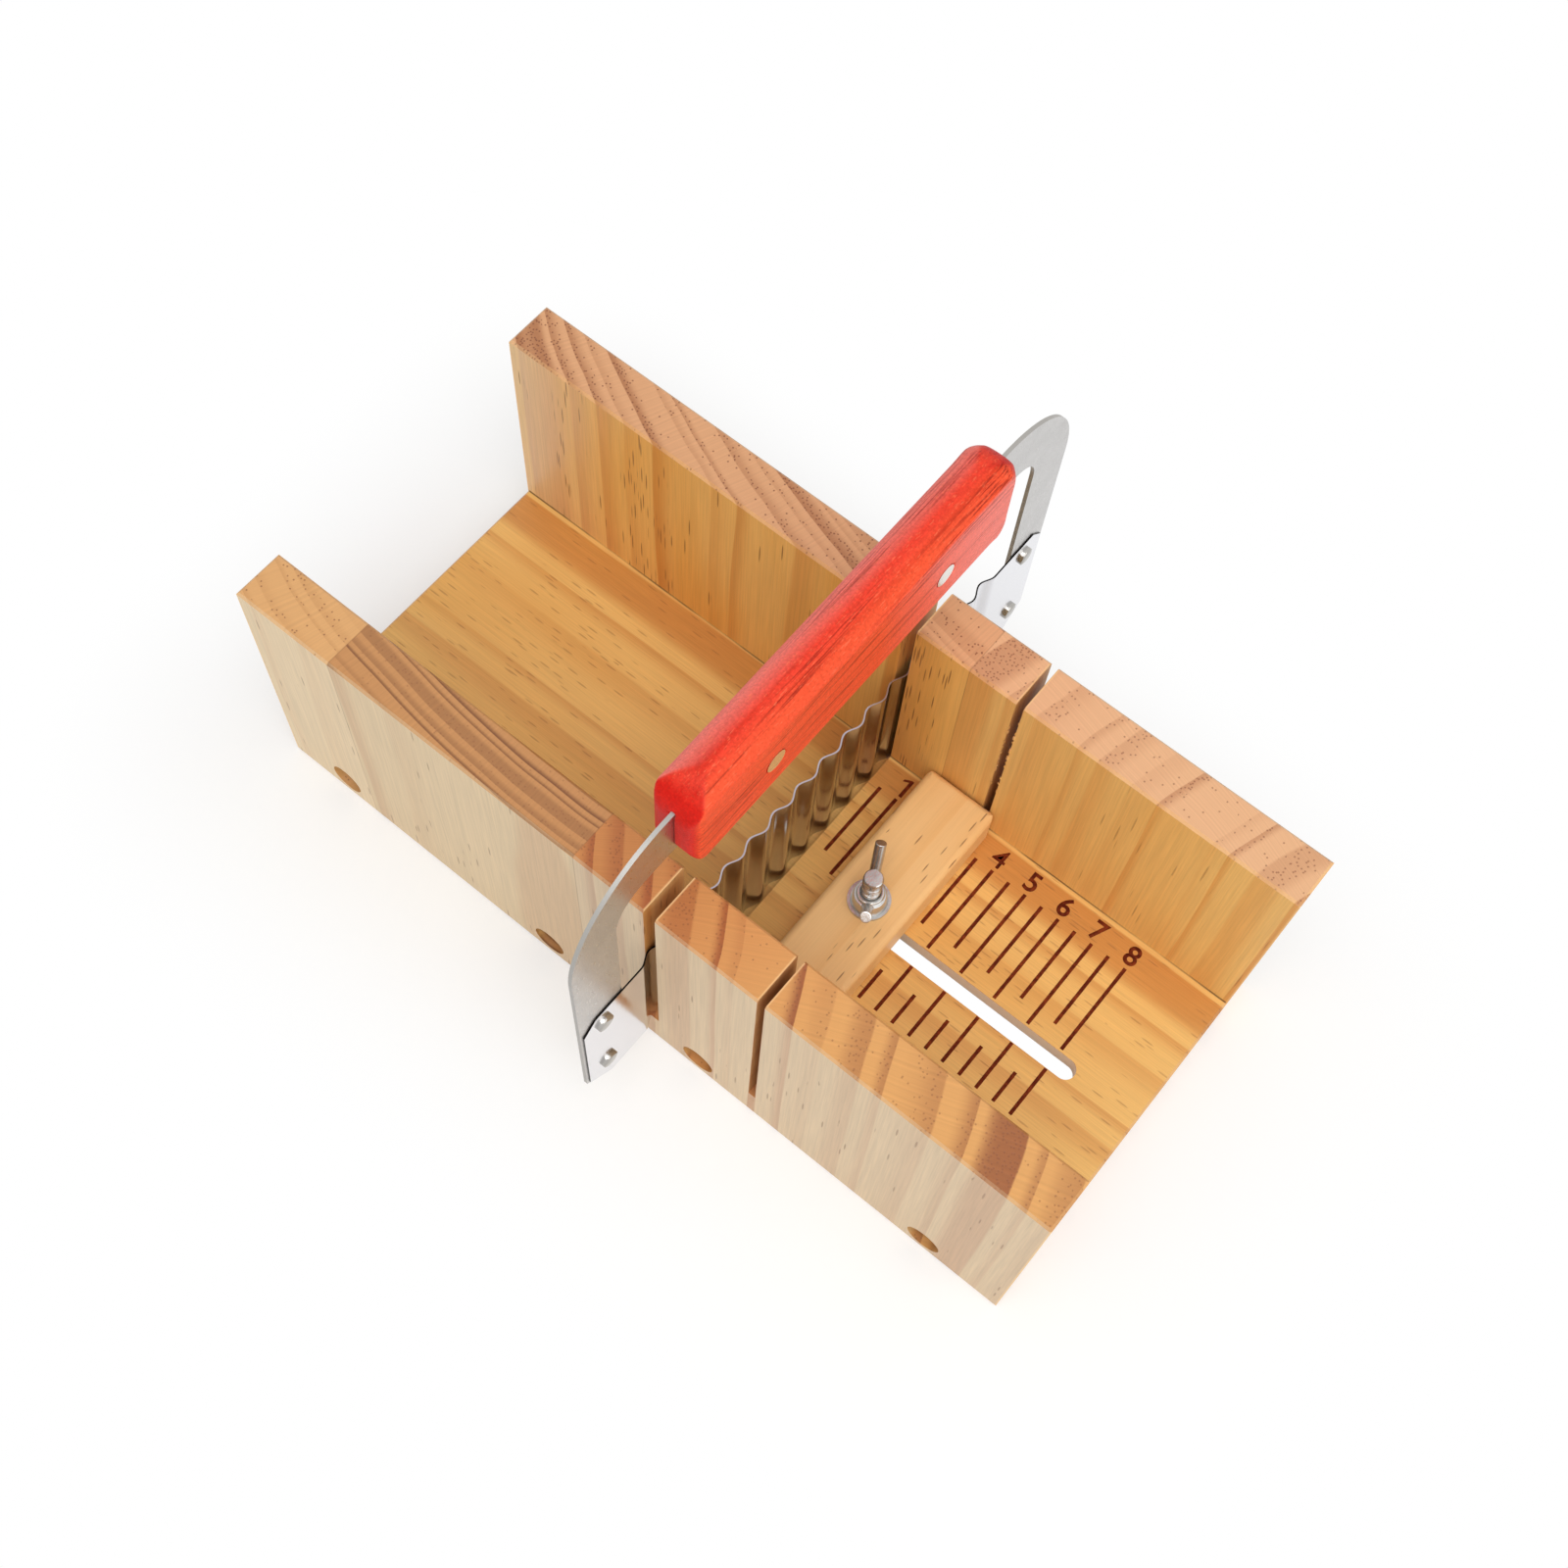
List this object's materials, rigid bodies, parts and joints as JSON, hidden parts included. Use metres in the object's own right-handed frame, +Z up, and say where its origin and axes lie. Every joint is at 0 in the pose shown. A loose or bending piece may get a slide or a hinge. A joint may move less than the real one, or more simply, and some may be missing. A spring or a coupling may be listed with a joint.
{
  "type": "soap cutter",
  "caption": "Wooden soap cutting box with slotted side walls, a sliding stop clamped by a wing nut, and a wavy hand cutter with a wooden handle standing in the wide slot.",
  "frame": {"origin": "centre of the box's underside, which rests on the table", "axes": "+X along the box in the direction in which the centimetre scale rises, +Y across the box towards the back wall, +Z up"},
  "size_m": [0.224, 0.17, 0.1222],
  "materials": {
    "base_wood": "sanded, unfinished",
    "front_left_wood": "sanded, unfinished",
    "front_middle_wood": "sanded, unfinished",
    "front_right_wood": "sanded, unfinished",
    "back_left_wood": "sanded, unfinished",
    "back_right_wood": "sanded, unfinished",
    "block_wood": "sanded, unfinished",
    "handle_wood": "red stain, satin",
    "screw_steel": "blackened",
    "zinc_plate": "zinc plated",
    "bow_steel": "satin",
    "blade_steel": "polished",
    "rivet_metal": "satin",
    "pin_metal": "satin"
  },
  "bodies": {
    "box": {"base_board": "base_wood", "front_wall_left_stave": "front_left_wood", "front_wall_middle_stave": "front_middle_wood", "front_wall_right_stave": "front_right_wood", "back_wall_left_stave": "back_left_wood", "back_wall_right_stave": "back_right_wood", "front_wall_screws": "screw_steel", "back_wall_screws": "screw_steel"},
    "stop": {"stop_block": "block_wood", "clamp_bolt": "zinc_plate", "washer": "zinc_plate"},
    "nut": {"wing_nut": "zinc_plate"},
    "cutter": {"cutter_bow": "bow_steel", "wavy_blade": "blade_steel", "blade_rivets": "rivet_metal", "handle": "handle_wood", "handle_pins": "pin_metal"}
  },
  "joints": [
    {"name": "stop_slide", "type": "slide", "parent": "box", "child": "stop", "axis": [1, 0, 0], "range_m": [-0.007, 0.058]},
    {"name": "nut_turn", "type": "hinge", "parent": "stop", "child": "nut", "pos_m": [0.0315, 0, 0.029], "axis": [0, 0, 1], "continuous": true},
    {"name": "cutter_lift", "type": "slide", "parent": "box", "child": "cutter", "axis": [0, 0, 1], "range_m": [0, 0.065]}
  ]
}
